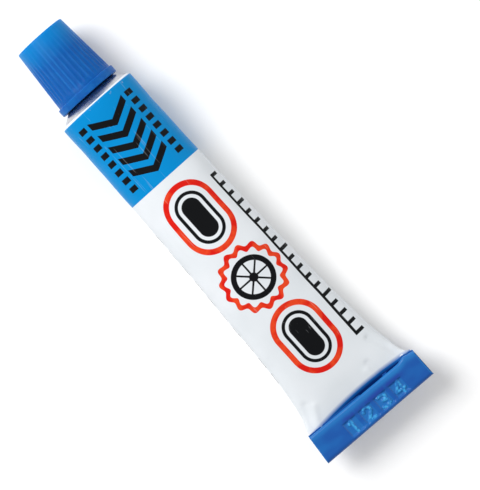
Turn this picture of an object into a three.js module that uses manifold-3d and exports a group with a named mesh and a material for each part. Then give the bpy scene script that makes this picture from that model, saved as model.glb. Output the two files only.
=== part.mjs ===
// A small collapsible aluminium tube of rubber cement, lying on its belly, with its screw cap on.
// Millimetres, +Z up, +X from the folded tail to the cap. The origin is on the surface that the tube
// lies on, below the middle of its length.

import * as THREE from 'three';
import { mergeVertices } from 'three/addons/utils/BufferGeometryUtils.js';
import Module from 'manifold-3d';

const wasm = await Module();
wasm.setup();

// Tube body, from the rim of the shoulder to the fold at the tail
const tubeDiameter = 13.5;
const tubeLength = 62.5;
const tubeWall = 0.15;
const tailFlare = 1.0; // how much wider the flat tail is than half the tube's girth
const tailWall = 0.4; // pressed solid stretch between the inside of the tube and the fold
const bellySink = 0.8; // how far the soft belly is pressed flat where it lies
const bellyRun = 8; // length behind the stiff rim over which the belly comes down
const closingPower = 2; // side profile: (height share)^fullness + (length share)^closingPower = 1
const fullness = 2.2;
const bellySag = 1; // how much the filled part hangs below the tube's axis: 1 keeps its belly level
const squareness = 0.6; // how much flatter than an ellipse the sections become at the tail

// Shoulder and threaded neck
const shoulderAngle = 38; // degrees from the plane of the rim
const shoulderWall = 0.4;
const neckLength = 5.6;
const nozzleBore = 3.6;
const threadDiameter = 7;
const threadDepth = 0.5;
const threadPitch = 1.25;
const threadRun = 4.4; // length of neck that carries the thread
const threadTopLand = 0.6; // plain neck above the thread
const ridgeRoot = 0.62; // width of a thread ridge at its foot
const ridgeCrest = 0.28; // and at its crest
const sealThickness = 0.15;
const sealLip = 0.4; // how far the seal's seat is wider than the bore, all round

// Folded tail: three layers of doubled sheet
const foldLength = 5.4;
const foldGap = 0.2; // between two layers
const latexFilm = 0.06; // film that glues the two walls of a layer
const sealantLength = 2.2;

// Screw cap
const capLength = 12.05;
const capReach = 1.22; // how far the cap's mouth reaches down past the foot of the neck
const capWall = 0.7; // over the thread, at the cap's narrow end
const capTaper = 0.57; // growth in radius from the narrow end to the flange
const capEdge = 0.3; // chamfer round the narrow end
const flangeThickness = 1.1;
const flangeWall = 0.6; // round the mouth
const flangeChamfer = 0.15;
const fluteCount = 36;
const fluteDepth = 0.15;
const fluteRamp = 0.35; // run-out at each end of a flute
const bandHeight = 1.4; // smooth band above the flutes
const capThreadTurns = 2;
const linerThickness = 0.8;
const webThickness = 1; // between the liner's seat and the piercing recess
const spikeDiameter = 2.2;
const spikeSetback = 0.5; // how far the piercing point stays below the end of the cap

// Clearances
const threadClearance = 0.25;
const seatGap = 0.1;
const fillGap = 0.3;
const mouthGap = 0.3; // between the shoulder and the cap's mouth
const pierceClearance = 0.2; // round the neck in the piercing recess
const ridgeOverlap = 0.2; // depth to which a thread ridge is rooted in its wall

// Fineness of the facets
const roundFacets = 40;
const tubeStations = 22;
const sealantStations = 4;
const stepsPerTurn = 20;
const facetsPerFlute = 3;
const bendSegments = 6;
const fadeTurns = 0.25; // share of a turn over which a thread ridge rises
const mergeTolerance = 1e-4;

// Values worked out from the sizes above
const tubeRadius = tubeDiameter / 2;
const shoulderSlope = Math.tan(THREE.MathUtils.degToRad(shoulderAngle));
const shoulderSecant = 1 / Math.cos(THREE.MathUtils.degToRad(shoulderAngle));
const threadRadius = threadDiameter / 2;
const neckRadius = threadRadius - threadDepth;
const boreRadius = nozzleBore / 2;
const neckFoot = (tubeRadius - neckRadius) * shoulderSlope;
const neckTip = neckFoot + neckLength;
const sealSeatRadius = boreRadius + sealLip;
const sealSeatDepth = sealThickness + 2 * seatGap;
const foldLayer = 2 * tubeWall + latexFilm;
const foldPitch = foldLayer + foldGap;
const tailHalfHeight = foldLayer / 2 + latexFilm;
const tailWidth = Math.PI * tubeRadius + tailFlare;
const bodyHalfWidth = tailWidth / 2 - tubeWall;
const capMouth = neckFoot - capReach;
const capEnd = capMouth + capLength;
const capBore = threadRadius + threadClearance;
const capEndRadius = capBore + capWall;
const capFootRadius = capEndRadius + capTaper;
const mouthRadius = neckRadius + capReach / shoulderSlope + mouthGap;
const linerFoot = neckTip + seatGap;
const capCeiling = linerFoot + linerThickness + seatGap;
const recessFloor = capCeiling + webThickness;
const overallLength = tubeLength + foldLength + capEnd;

// Moves every vertex of a geometry by a rule that takes and changes a vector.
function reshape(geometry, rule) {
  const places = geometry.attributes.position;
  const point = new THREE.Vector3();
  for (let i = 0; i < places.count; i += 1) {
    point.fromBufferAttribute(places, i);
    rule(point);
    places.setXYZ(i, point.x, point.y, point.z);
  }
  return geometry;
}

// Turns a closed geometry into a solid that can be joined and cut.
function solid(geometry) {
  geometry.deleteAttribute('normal');
  geometry.deleteAttribute('uv');
  const merged = mergeVertices(geometry, mergeTolerance);
  const corners = merged.index.array;
  const triangles = [];
  for (let i = 0; i < corners.length; i += 3) {
    const [a, b, c] = [corners[i], corners[i + 1], corners[i + 2]];
    if (a !== b && b !== c && c !== a) {
      triangles.push(a, b, c);
    }
  }
  return new wasm.Manifold(new wasm.Mesh({
    numProp: 3,
    vertProperties: Float32Array.from(merged.attributes.position.array),
    triVerts: Uint32Array.from(triangles),
  }));
}

// Names a finished solid and gives it its material.
function piece(name, shape, color, roughness, metalness) {
  const mesh = shape.getMesh();
  const geometry = new THREE.BufferGeometry();
  geometry.setAttribute('position', new THREE.BufferAttribute(mesh.vertProperties, 3));
  geometry.setIndex(new THREE.BufferAttribute(mesh.triVerts, 1));
  geometry.computeVertexNormals();
  const result = new THREE.Mesh(geometry, new THREE.MeshStandardMaterial({ color, roughness, metalness }));
  result.name = name;
  return result;
}

// A solid of revolution about +X. The profile is a list of [radius, height] from the tail end up, and it
// starts and ends on the axis.
function turned(profile, facets = roundFacets) {
  const points = profile.map(([radius, height]) => new THREE.Vector2(radius, height));
  return new THREE.LatheGeometry(points, facets).rotateZ(-Math.PI / 2);
}

// Height of the outside of the shoulder cone at a radius.
function shoulderAt(radius) {
  return (tubeRadius - radius) * shoulderSlope;
}

// Places along the body, from the tail end up to the shoulder, closer together at the tail.
function bodyStations(tailEnd, shoulderEnd, count = tubeStations) {
  const heights = [];
  for (let i = count; i >= 0; i -= 1) {
    heights.push(shoulderEnd - (shoulderEnd - tailEnd) * Math.sin((Math.PI / 2) * (i / count)));
  }
  return heights;
}

// Drop of the body's mid-line at a section: none at the round rim, next to none at the flat tail.
function midDrop(halfHeight) {
  return bellySag * (tubeRadius - halfHeight) * (halfHeight / tubeRadius);
}

// Presses a round body into the shape of the filled tube. Each section is a superellipse that gets wider
// and lower towards the tail, on a mid-line that sags where the tube is full, and the belly rests flat.
function pressed(geometry, inset) {
  return reshape(geometry, (point) => {
    const radius = Math.hypot(point.y, point.z);
    if (point.x < 0) {
      const share = Math.min(1, -point.x / tubeLength);
      const closing = (1 - share ** closingPower) ** (1 / fullness);
      const halfHeight = tailHalfHeight + (tubeRadius - tailHalfHeight) * closing;
      const halfWidth = tubeRadius + (bodyHalfWidth - tubeRadius) * (1 - closing);
      const power = 2 / (2 + squareness * (1 - closing));
      const reach = radius / (tubeRadius - inset);
      const across = radius > 0 ? point.y / radius : 0;
      const upward = radius > 0 ? point.z / radius : 0;
      const sag = bellySink * THREE.MathUtils.smoothstep(-point.x, 0, bellyRun);
      point.y = reach * (halfWidth - inset) * Math.sign(across) * Math.abs(across) ** power;
      point.z = reach * (halfHeight - inset) * Math.sign(upward) * Math.abs(upward) ** power
        - sag - midDrop(halfHeight);
    }
    point.z = Math.max(point.z, inset - tubeRadius);
  });
}

// A stretch of the tube's inside, set in from the outer skin, from near the tail to near the neck's end.
function fillOfTube(inset, coneInset, tailEnd, throatRadius, topEnd) {
  const edgeRadius = tubeRadius - inset;
  const coneFoot = shoulderAt(edgeRadius) - coneInset * shoulderSecant;
  const coneTop = shoulderAt(throatRadius) - coneInset * shoulderSecant;
  const profile = [
    [0, tailEnd],
    ...bodyStations(tailEnd, coneFoot).map((height) => [edgeRadius, height]),
    [throatRadius, coneTop],
    [throatRadius, topEnd],
    [0, topEnd],
  ];
  return solid(pressed(turned(profile), inset));
}

// A right-hand thread ridge, wound down from its top. The section is rooted in the wall that carries it,
// and the ridge rises out of that wall over the first and last part of a turn.
function threadRidge(wallRadius, crestRadius, top, turns) {
  const outward = Math.sign(crestRadius - wallRadius);
  const rootRadius = wallRadius - outward * ridgeOverlap;
  const leastRise = (0.8 * ridgeOverlap) / Math.abs(crestRadius - rootRadius);
  const section = new THREE.Shape();
  section.moveTo(rootRadius, -ridgeRoot / 2);
  section.lineTo(crestRadius, -ridgeCrest / 2);
  section.lineTo(crestRadius, ridgeCrest / 2);
  section.lineTo(rootRadius, ridgeRoot / 2);
  const steps = Math.round(turns * stepsPerTurn);
  const strip = new THREE.ExtrudeGeometry(section, { depth: 1, steps, bevelEnabled: false });
  return solid(reshape(strip, (point) => {
    const wound = turns * point.z;
    const angle = -2 * Math.PI * wound;
    const rise = Math.min(wound, turns - wound) / fadeTurns;
    const height = THREE.MathUtils.clamp(rise, leastRise, 1);
    const radius = rootRadius + (point.x - rootRadius) * height;
    point.set(top - threadPitch * wound + point.y, radius * Math.cos(angle), radius * Math.sin(angle));
  }));
}

// The doubled sheet of the tail, folded over twice towards the top and pressed: a flat roll whose first
// bend looks back at the body and whose second bend is the end of the tube.
function foldedTail() {
  const half = foldLayer / 2;
  const outerBend = foldLength - foldPitch - half;
  const innerBend = foldPitch / 2 + half;
  const root = -tailWall / 2;
  const top = 2 * foldPitch;
  const quarter = Math.PI / 2;
  const strip = new THREE.Shape();
  strip.moveTo(root, -half);
  strip.absarc(outerBend, foldPitch, foldPitch + half, -quarter, quarter, false);
  strip.absarc(innerBend, top - foldPitch / 2, foldPitch / 2 + half, quarter, 3 * quarter, false);
  strip.lineTo(outerBend, foldPitch - half);
  strip.lineTo(outerBend, foldPitch + half);
  strip.absarc(innerBend, top - foldPitch / 2, foldPitch / 2 - half, 3 * quarter, quarter, true);
  strip.absarc(outerBend, foldPitch, foldPitch - half, quarter, -quarter, true);
  strip.lineTo(root, half);
  const settings = { depth: tailWidth, curveSegments: bendSegments, bevelEnabled: false };
  const roll = new THREE.ExtrudeGeometry(strip, settings);
  const tailLevel = -bellySink - midDrop(tailHalfHeight);
  return solid(reshape(roll, (point) => {
    point.set(-tubeLength - point.x, point.z - tailWidth / 2, tailLevel + point.y);
  }));
}

// Body, shoulder, neck and fold: one drawn sheet, open only at the end of the neck.
function tubeShell() {
  const outside = solid(pressed(turned([
    [0, -tubeLength],
    ...bodyStations(-tubeLength, 0).map((height) => [tubeRadius, height]),
    [neckRadius, neckFoot],
    [neckRadius, neckTip],
    [0, neckTip],
  ]), 0));
  const inside = fillOfTube(tubeWall, shoulderWall, tailWall - tubeLength, boreRadius, neckTip + seatGap);
  const sealSeat = solid(turned([
    [0, neckTip - sealSeatDepth],
    [sealSeatRadius, neckTip - sealSeatDepth],
    [sealSeatRadius, neckTip + seatGap],
    [0, neckTip + seatGap],
  ]));
  const thread = threadRidge(neckRadius, threadRadius, neckTip - threadTopLand, threadRun / threadPitch);
  return outside.add(thread).add(foldedTail()).subtract(inside).subtract(sealSeat);
}

// The thin disc that closes the end of the neck until it is pierced.
function nozzleSeal() {
  const foot = neckTip - sealSeatDepth + seatGap;
  const top = foot + sealThickness;
  const radius = sealSeatRadius - seatGap;
  return solid(turned([[0, foot], [radius, foot], [radius, top], [0, top]]));
}

// The contents, clear of the wall and of the seal.
function cementFill() {
  const inset = tubeWall + fillGap;
  const tailEnd = tailWall + sealantLength + fillGap - tubeLength;
  const topEnd = neckTip - sealSeatDepth - fillGap;
  return fillOfTube(inset, shoulderWall + fillGap, tailEnd, boreRadius - fillGap, topEnd);
}

// The latex band between the two walls, just ahead of the fold.
function tailSealant() {
  const inset = tubeWall + seatGap;
  const foot = tailWall + seatGap - tubeLength;
  const top = tailWall + sealantLength - tubeLength;
  const radius = tubeRadius - inset;
  const stations = bodyStations(foot, top, sealantStations);
  const profile = [[0, foot], ...stations.map((height) => [radius, height]), [0, top]];
  return solid(pressed(turned(profile), inset));
}

// Outer radius of the cap at a height, between its flange and its narrow end.
function capRadiusAt(height) {
  const foot = capMouth + flangeThickness;
  return capFootRadius - (capTaper * (height - foot)) / (capEnd - foot);
}

// The outside of the cap: a flange, a tapered side with fine flutes, and a smooth band at the narrow end.
function capOutside() {
  const flangeTop = capMouth + flangeThickness;
  const flangeRadius = mouthRadius + flangeWall;
  const fluteFoot = flangeTop + fluteRamp;
  const fluteTop = capEnd - bandHeight;
  const edgeFoot = capEnd - capEdge;
  const sides = [flangeTop, fluteFoot, fluteFoot + fluteRamp, fluteTop - fluteRamp, fluteTop, edgeFoot];
  const body = turned([
    [0, capMouth],
    [flangeRadius - flangeChamfer, capMouth],
    [flangeRadius, capMouth + flangeChamfer],
    [flangeRadius, flangeTop],
    ...sides.map((height) => [capRadiusAt(height), height]),
    [capEndRadius - capEdge, capEnd],
    [0, capEnd],
  ], fluteCount * facetsPerFlute);
  return solid(reshape(body, (point) => {
    const runOut = Math.min(point.x - fluteFoot, fluteTop - point.x) / fluteRamp;
    const depth = fluteDepth * THREE.MathUtils.clamp(runOut, 0, 1);
    const wave = (1 - Math.cos(fluteCount * Math.atan2(point.y, point.z))) / 2;
    const scale = 1 - (depth * wave) / Math.max(Math.hypot(point.y, point.z), capEndRadius);
    point.y *= scale;
    point.z *= scale;
  }));
}

// The cap: hollow for the neck and the liner, threaded, with a piercing point in its far end.
function screwCap() {
  const boreFoot = capMouth + (mouthRadius - capBore) * shoulderSlope;
  const hollow = solid(turned([
    [0, capMouth - mouthGap],
    [mouthRadius + mouthGap / shoulderSlope, capMouth - mouthGap],
    [capBore, boreFoot],
    [capBore, capCeiling],
    [0, capCeiling],
  ]));
  const recessRadius = threadRadius + pierceClearance;
  const spikeRadius = spikeDiameter / 2;
  const recess = solid(turned([
    [0, recessFloor],
    [recessRadius, recessFloor],
    [recessRadius, capEnd + seatGap],
    [0, capEnd + seatGap],
  ]));
  const spike = solid(turned([
    [0, recessFloor - webThickness / 2],
    [spikeRadius, recessFloor - webThickness / 2],
    [spikeRadius, recessFloor],
    [0, capEnd - spikeSetback],
  ]));
  const ridgeTop = neckTip - threadTopLand - 1.5 * threadPitch;
  const thread = threadRidge(capBore, neckRadius + threadClearance, ridgeTop, capThreadTurns);
  return capOutside().subtract(hollow).subtract(recess).add(spike).add(thread);
}

// The soft disc that the cap presses on the end of the neck.
function capLiner() {
  const radius = capBore - seatGap;
  const top = linerFoot + linerThickness;
  return solid(turned([[0, linerFoot], [radius, linerFoot], [radius, top], [0, top]]));
}

const tube = new THREE.Group();
tube.position.set(overallLength / 2 - capEnd, 0, tubeRadius);
tube.add(piece('tube_shell', tubeShell(), 0xe4e7ea, 0.3, 0.2));
tube.add(piece('nozzle_seal', nozzleSeal(), 0xc9cdd1, 0.3, 1));
tube.add(piece('cement_fill', cementFill(), 0xd8c48c, 0.35, 0));
tube.add(piece('tail_sealant', tailSealant(), 0xeae2cc, 0.6, 0));
tube.add(piece('screw_cap', screwCap(), 0x2655a5, 0.4, 0));
tube.add(piece('cap_liner', capLiner(), 0xf1f1ec, 0.6, 0));

const part = new THREE.Group();
part.add(tube);

export default part;
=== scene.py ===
"""A small aluminium tube of rubber cement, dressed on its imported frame.

Shapes are worked out in millimetres in the part's own frame: x runs along the tube from the folded
tail to the cap, y across the flat tail and z up from the surface that the tube lies on.
"""

import bpy
import numpy as np
from mathutils import Matrix, Vector


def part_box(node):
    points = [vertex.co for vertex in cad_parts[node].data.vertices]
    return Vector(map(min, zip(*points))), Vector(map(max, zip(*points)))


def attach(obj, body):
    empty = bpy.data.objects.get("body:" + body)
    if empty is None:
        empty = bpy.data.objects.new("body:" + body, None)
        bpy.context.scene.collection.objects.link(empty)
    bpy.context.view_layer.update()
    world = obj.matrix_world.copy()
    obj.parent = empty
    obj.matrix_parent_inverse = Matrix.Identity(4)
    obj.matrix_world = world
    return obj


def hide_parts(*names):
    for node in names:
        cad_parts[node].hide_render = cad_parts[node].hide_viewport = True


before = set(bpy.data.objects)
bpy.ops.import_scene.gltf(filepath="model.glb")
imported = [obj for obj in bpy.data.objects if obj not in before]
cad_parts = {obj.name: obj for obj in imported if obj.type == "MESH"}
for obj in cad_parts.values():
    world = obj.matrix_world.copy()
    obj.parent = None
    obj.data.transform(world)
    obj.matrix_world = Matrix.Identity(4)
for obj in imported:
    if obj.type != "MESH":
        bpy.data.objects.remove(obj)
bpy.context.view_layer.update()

MM = 0.001


def node_box(name):
    """The lowest and highest corner of a solid of the frame, in millimetres."""
    low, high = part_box(name)
    return np.array(low) / MM, np.array(high) / MM


shell_low, shell_high = node_box("tube_shell")
cap_low, cap_high = node_box("screw_cap")
liner_low, liner_high = node_box("cap_liner")
seal_low, seal_high = node_box("nozzle_seal")
sealant_low, sealant_high = node_box("tail_sealant")

# Tube body
TUBE_RADIUS = (shell_high[2] - shell_low[2]) / 2
AXIS_Z = (shell_high[2] + shell_low[2]) / 2
TUBE_WALL = 0.15
BELLY_SINK, BELLY_RUN = 0.8, 8.0  # the belly sinks flat over a run from the rim
CLOSING_POWER = 2.0
FULLNESS = 2.2
BELLY_SAG = 1.0
SQUARENESS = 0.6
TAIL_HALF_HEIGHT = 0.24
TAIL_HALF_WIDTH = shell_high[1]
BODY_HALF_WIDTH = TAIL_HALF_WIDTH - TUBE_WALL
SPREAD_LEFT, SPREAD_RIGHT = 0.3, 0.17  # the soft body gives way to both sides
SPREAD_FROM, SPREAD_RUN = -26.0, 16.0
PINCH_LEFT, PINCH_RIGHT = -0.15, 0.15  # just above the fold
PINCH_ABOVE, PINCH_RUN = 1.0, 1.5
LEFT_PINCH_BELOW, LEFT_PINCH_RUN = 0.3, 0.7  # beside the fold's narrower left end
WAIST, WAIST_X, WAIST_RUN = 0.15, -28.6, 3.6
DRAWN_FROM = 10.0  # distance across at which the sides are drawn in fully
SEALANT_INSET, SEALANT_WIDTH = 0.25, 0.96  # clear of the wall, and share of its width

# Shoulder and neck
SHOULDER_ANGLE = 38.0  # degrees
SHOULDER_SLOPE = np.tan(np.radians(SHOULDER_ANGLE))
SHOULDER_WALL = 0.4
RIM_ROUNDING = 0.4
RIM_TANGENT = RIM_ROUNDING * np.tan(np.radians((90.0 - SHOULDER_ANGLE) / 2))
COAT_EDGE = 0.28  # how far the wall's white coat goes in over the rim
NECK_LENGTH = 5.6
NECK_RADIUS = 3.0
THREAD_RADIUS = 3.5
THREAD_PITCH = 1.25
THREAD_TURNS = 3.52
THREAD_TOP_LAND = 0.6
THREAD_FADE = 0.25  # share of a turn over which a ridge rises
RIDGE_HALF_FOOT, RIDGE_FLANK = 0.43, 0.34
BORE_RADIUS = 1.8
SEAL_SEAT_RADIUS = 2.2
SEAL_SEAT_DEPTH = 0.35
SEAL_EDGE = 0.05
SEAL_RING, SEAL_RING_RADIUS, SEAL_RING_WIDTH = 0.03, 1.1, 0.16
NECK_TIP = shell_high[0]
NECK_FOOT = NECK_TIP - NECK_LENGTH
RIM_X = NECK_FOOT - (TUBE_RADIUS - NECK_RADIUS) * SHOULDER_SLOPE

# Folded tail
FOLD_LENGTH = 5.4
FOLD_LAYER = 0.36
FOLD_PITCH = 0.56
TAIL_END = shell_low[0]
FOLD_X = TAIL_END + FOLD_LENGTH
TUBE_LENGTH = RIM_X - FOLD_X
TAIL_SAG = BELLY_SAG * (TUBE_RADIUS - TAIL_HALF_HEIGHT) * TAIL_HALF_HEIGHT / TUBE_RADIUS
TAIL_Z = AXIS_Z - BELLY_SINK - TAIL_SAG
TAIL_WALL = 0.4  # the hollow ends this far above the fold
FOLD_EDGE_SHIFT = -0.1
FOLD_EDGE_SLANT = 0.034  # the fold is not quite square to the tube
FOLD_EAR, FOLD_EAR_FALL = 0.43, 2.4  # an ear near its right end reaches up the wall
FOLD_EAR_START, FOLD_EAR_RUN = 7.4, 1.7
FOLD_TUCK = 0.2  # the base run starts inside the wall
TAIL_END_SLANT = 0.022
WALL_UNDER_FOLD = 0.5  # the flat end of the wall goes on under the fold
FLAT_END_WIDTH, FLAT_END_HEIGHT, FLAT_END_DROP = 0.92, 0.1, 0.05
LEFT_DRAW_IN = 0.48  # the fold's left end narrows toward the wall
LEFT_PINCH = 1.2 * LEFT_DRAW_IN  # and the wall follows it
LEFT_SHORT = 0.12
TOP_SHORT, TOP_SHORT_ROW, TOP_SHORT_ROWS = 0.14, 14.0, 6.0  # ragged right ends of the layers
MIDDLE_LONG, MIDDLE_LONG_ROW, MIDDLE_LONG_ROWS = 0.1, 76.0, 8.0
DIGIT_PITCH = 3.16
DIGIT_MIDDLE = -0.8
DIGIT_PLACE = 3.3
DIGIT_WIDTH, DIGIT_HEIGHT = 1.45, 2.3
DIGIT_STROKE, STROKE_EDGE = 0.25, 0.26
PRESS_DEPTH = 0.2
BLOCK_HALF_WIDTH, BLOCK_HALF_HEIGHT, BLOCK_EDGE = 1.22, 1.32, 0.3
DIE_DEPTH = 0.14
DIE_HALF_HEIGHT, DIE_END = 1.75, 1.9
DIE_SIDE_RUN, DIE_END_RUN = 0.7, 1.6
# width of the painted shade on the trough's upper side, and its reach along the type
TROUGH_SHADE_WIDTH, TROUGH_SHADE_REACH = 0.42, 7.2
ROLL_WAVE, ROLL_RIPPLE = 0.05, 0.025
# width of the painted highlight along the fold's rounded upper edge
EDGE_HIGHLIGHT_WIDTH = 0.5
CUT_END, CUT_END_RUN = 0.975, 0.02  # share of the half width; the painted highlight along the cut ends starts there

# Screw cap
CAP_MOUTH, CAP_END = cap_low[0], cap_high[0]
CAP_BORE = 3.75
CAP_END_RADIUS = 4.45
CAP_TAPER = 0.78
FLANGE_PROUD = 0.1  # the flange stands out a little past the solid's
FLANGE_RADIUS = (cap_high[2] - cap_low[2]) / 2 + FLANGE_PROUD
FLANGE_THICKNESS = 1.25
FLANGE_WALL = 0.7
FLANGE_TOP = CAP_MOUTH + FLANGE_THICKNESS
FLUTE_COUNT = 36
FLUTE_DEPTH = 0.11
FLUTE_RUN_OUT = 5.0
FLUTE_FOOT, FLUTE_FOOT_RUN = 0.3, 0.8
BAND_HEIGHT = 1.4
LINER_GAP = 0.1
CAP_CEILING = liner_high[0] + LINER_GAP
CAP_THREAD_TURNS = 2.0
CAP_THREAD_CLEARANCE = 0.25
RECESS_RADIUS = 3.7
CAP_WEB = 1.0
RECESS_FLOOR = CAP_CEILING + CAP_WEB
SPIKE_RADIUS = 1.1
SPIKE_SETBACK = 0.5
LINER_EDGE = 0.16
NECK_PRINT, NECK_PRINT_RADIUS, NECK_PRINT_WIDTH = 0.06, 2.6, 0.3

# Marks of handling. Dents: depth, middle along and round the wall, reach along and round it
WAVE, RIPPLE = 0.035, 0.02
RIM_CLEAR, RIM_FADE = 1.0, 5.0  # the rim itself is stiff
DENTS = (
    (0.14, -15.0, 8.2, 5.5, 2.6),
    (0.1, 7.0, -6.0, 3.5, 2.2),
    (0.1, -25.0, -2.0, 5.0, 3.0),
)
# Creases above the fold, with ridges below zero: depth, both ends along and across, and width
CREASES = (
    (0.2, (-35.3, -9.3), (-29.5, -7.2), 0.5),
    (-0.26, (-35.0, -10.2), (-33.2, -9.6), 0.6),
    (0.16, (-35.3, -5.2), (-32.4, -4.4), 0.45),
    (-0.12, (-35.3, -3.8), (-33.4, -3.5), 0.6),
    (0.15, (-35.3, 9.5), (-31.0, 7.8), 0.6),
    (-0.15, (-35.3, 8.2), (-32.0, 6.6), 0.6),
)
CREASE_FROM, CREASE_RUN = 0.72, 0.2  # share of the way to the fold
CREASE_SIDE = 0.5  # they fade out toward the sides

# Fineness of the grids: steps along a profile, rows along a piece and columns across or round it
SHOULDER_STEP, NECK_ROWS, SHOULDER_COLUMNS = 0.15, 150, 280
DISC_STEP, SEAL_COLUMNS, LINER_COLUMNS = 0.08, 96, 120
CAP_STEP, COLUMNS_PER_FLUTE = 0.17, 10
BODY_RUN, BODY_ROWS, TAIL_ROWS, WALL_COLUMNS = 50.0, 105, 76, 256
INNER_STEP = 4  # the inner skin keeps each fourth row
SEALANT_ROWS, SEALANT_COLUMNS = 12, 160
RUN_ROWS, BEND_ROWS, TOP_ROWS, FOLD_COLUMNS = 6, 15, 58, 300
ARC_STEP = 0.2  # radians
SHARP_EDGE, SHARP_BY_THREAD = 50.0, 120.0  # degrees; the thread's flanks stay smooth

# The wall's own map: place along the tube and round its girth, with the inner skin off the print
MAP_SPAN = 100.0
INNER_GIRTH = 45.0


def smooth(t):
    """The curve 3t^2 - 2t^3 between 0 and 1, flat outside."""
    t = np.clip(t, 0.0, 1.0)
    return t * t * (3.0 - 2.0 * t)


def bell(t):
    """The bell curve e^(-t^2)."""
    return np.exp(-(t**2))


def line_distance(u, v, start, end):
    """Distance of points from a straight line: the nearest point on it is kept between its ends."""
    (a, b), (run, rise) = start, np.subtract(end, start)
    share = np.clip(((u - a) * run + (v - b) * rise) / (run**2 + rise**2), 0.0, 1.0)
    return np.hypot(u - a - share * run, v - b - share * rise)


def rounded(corners, step):
    """A profile through corners (radius, place, rounding): straight runs, joined by arcs that touch
    both runs, cut into steps no longer than the step given."""
    points = [np.array(corners[0][:2], float)]
    for before, corner, after in zip(corners[:-2], corners[1:-1], corners[2:]):
        at = np.array(corner[:2], float)
        back = np.array(before[:2]) - at
        ahead = np.array(after[:2]) - at
        back /= np.linalg.norm(back)
        ahead /= np.linalg.norm(ahead)
        opening = np.arccos(np.clip(back @ ahead, -1.0, 1.0))
        middle = back + ahead
        centre = at + middle / np.linalg.norm(middle) * corner[2] / np.sin(opening / 2)
        start = at + back * corner[2] / np.tan(opening / 2) - centre
        end = at + ahead * corner[2] / np.tan(opening / 2) - centre
        turn = np.pi - opening
        share = np.linspace(0.0, 1.0, max(3, int(turn / ARC_STEP)))[:, None]
        arc = (np.sin((1 - share) * turn) * start + np.sin(share * turn) * end) / np.sin(turn)
        points.extend(centre + arc)
    points.append(np.array(corners[-1][:2], float))
    points = np.array(points)
    lengths = np.linalg.norm(np.diff(points, axis=0), axis=1)
    counts = np.maximum(1, np.ceil(lengths / step)).astype(int)
    runs = [np.linspace(*run, endpoint=False) for run in zip(points[:-1], points[1:], counts)]
    return np.concatenate([*runs, points[-1:]])


def turn_angles(columns):
    """Even angles once round the tube's axis, as one row."""
    return 2 * np.pi * np.arange(columns)[None, :] / columns


def turned_grid(radius, place, angle):
    """Points at a radius round the tube's axis, at a place along it and at an angle from +Y."""
    y = radius * np.cos(angle)
    z = radius * np.sin(angle) + AXIS_Z
    return np.stack(np.broadcast_arrays(place, y, z), axis=-1)


def disc_profile(low, high, edge):
    """Half the outline of a round disc that fills the box of its solid, with rounded edges."""
    radius = (high[2] - low[2]) / 2
    profile = rounded([
        (0.01, low[0], 0.0),
        (radius, low[0], edge),
        (radius, high[0], edge),
        (0.01, high[0], 0.0),
    ], DISC_STEP)
    return profile[:, :1], profile[:, 1:]


def thread_rise(place, angle, top, turns):
    """Height share of a right-hand thread ridge. The ridge's middle winds down from its top by one
    pitch a turn; the share falls off on both flanks, and it fades over the first and last part of a
    turn."""
    wound = (top - place) / THREAD_PITCH + angle / (2 * np.pi)
    nearest = np.round(wound)
    offset = np.abs(wound - nearest) * THREAD_PITCH
    turned = nearest - angle / (2 * np.pi)
    fade = smooth(np.minimum(turned, turns - turned) / THREAD_FADE)
    return smooth((RIDGE_HALF_FOOT - offset) / RIDGE_FLANK) * fade


def skin(name, grid, loop_rows=False, loop_columns=True, poles=False, uv=None, more_faces=None,
         sharp=SHARP_EDGE):
    """A mesh over a grid of points, rows by columns. A looped direction joins its last line to its
    first, and poles close the first and last row with a fan. The sign of the enclosed volume turns
    the faces outwards, and edges sharper than an angle in degrees stay sharp."""
    rows, columns = grid.shape[:2]
    i, j = np.indices((rows - (not loop_rows), columns - (not loop_columns))).reshape(2, -1)
    down, right = (i + 1) % rows, (j + 1) % columns
    square = ((i, j), (i, right), (down, right), (down, j))
    faces = np.stack([row * columns + column for row, column in square], axis=1)
    points = grid.reshape(-1, 3)
    fans = np.zeros((0, 3), int)
    if poles:
        around = np.arange(columns)
        onward = (around + 1) % columns
        last = (rows - 1) * columns
        first_pole, last_pole = (np.full(columns, len(points) + k) for k in range(2))
        first_fan = np.stack([first_pole, onward, around], axis=1)
        last_fan = np.stack([last_pole, last + around, last + onward], axis=1)
        fans = np.concatenate([first_fan, last_fan])
        points = np.concatenate([points, grid[:1].mean(axis=1), grid[-1:].mean(axis=1)])
    if more_faces is not None:
        faces = np.concatenate([faces, more_faces])
    halves = np.concatenate([faces[:, [0, 1, 2]], faces[:, [0, 2, 3]], fans])
    a, b, c = (points[halves[:, k]] - points.mean(axis=0) for k in range(3))
    inside_out = np.einsum("ij,ij->i", a, np.cross(b, c)).sum() < 0
    if inside_out:
        faces, fans = faces[:, ::-1], fans[:, ::-1]
    mesh = bpy.data.meshes.new(name)
    mesh.from_pydata((points * MM).tolist(), [], faces.tolist() + fans.tolist())
    if uv is not None:
        corners = np.stack([uv[i, j], uv[i, j + 1], uv[i + 1, j + 1], uv[i + 1, j]], axis=1)
        if inside_out:
            corners = corners[:, ::-1]
        layer = mesh.uv_layers.new(name="print")
        layer.data.foreach_set("uv", corners.astype(np.float32).ravel())
    mesh.polygons.foreach_set("use_smooth", np.ones(len(mesh.polygons), bool))
    mesh.set_sharp_from_angle(angle=np.radians(sharp))
    mesh.update()
    piece = bpy.data.objects.new(name, mesh)
    bpy.context.scene.collection.objects.link(piece)
    return piece


def fit(piece, body, node, finish):
    """Puts a finished piece on its body, in place of a solid of the frame."""
    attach(piece, body)
    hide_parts(node)
    piece.data.materials.clear()
    piece.data.materials.append(finish)


# Tube wall

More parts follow.
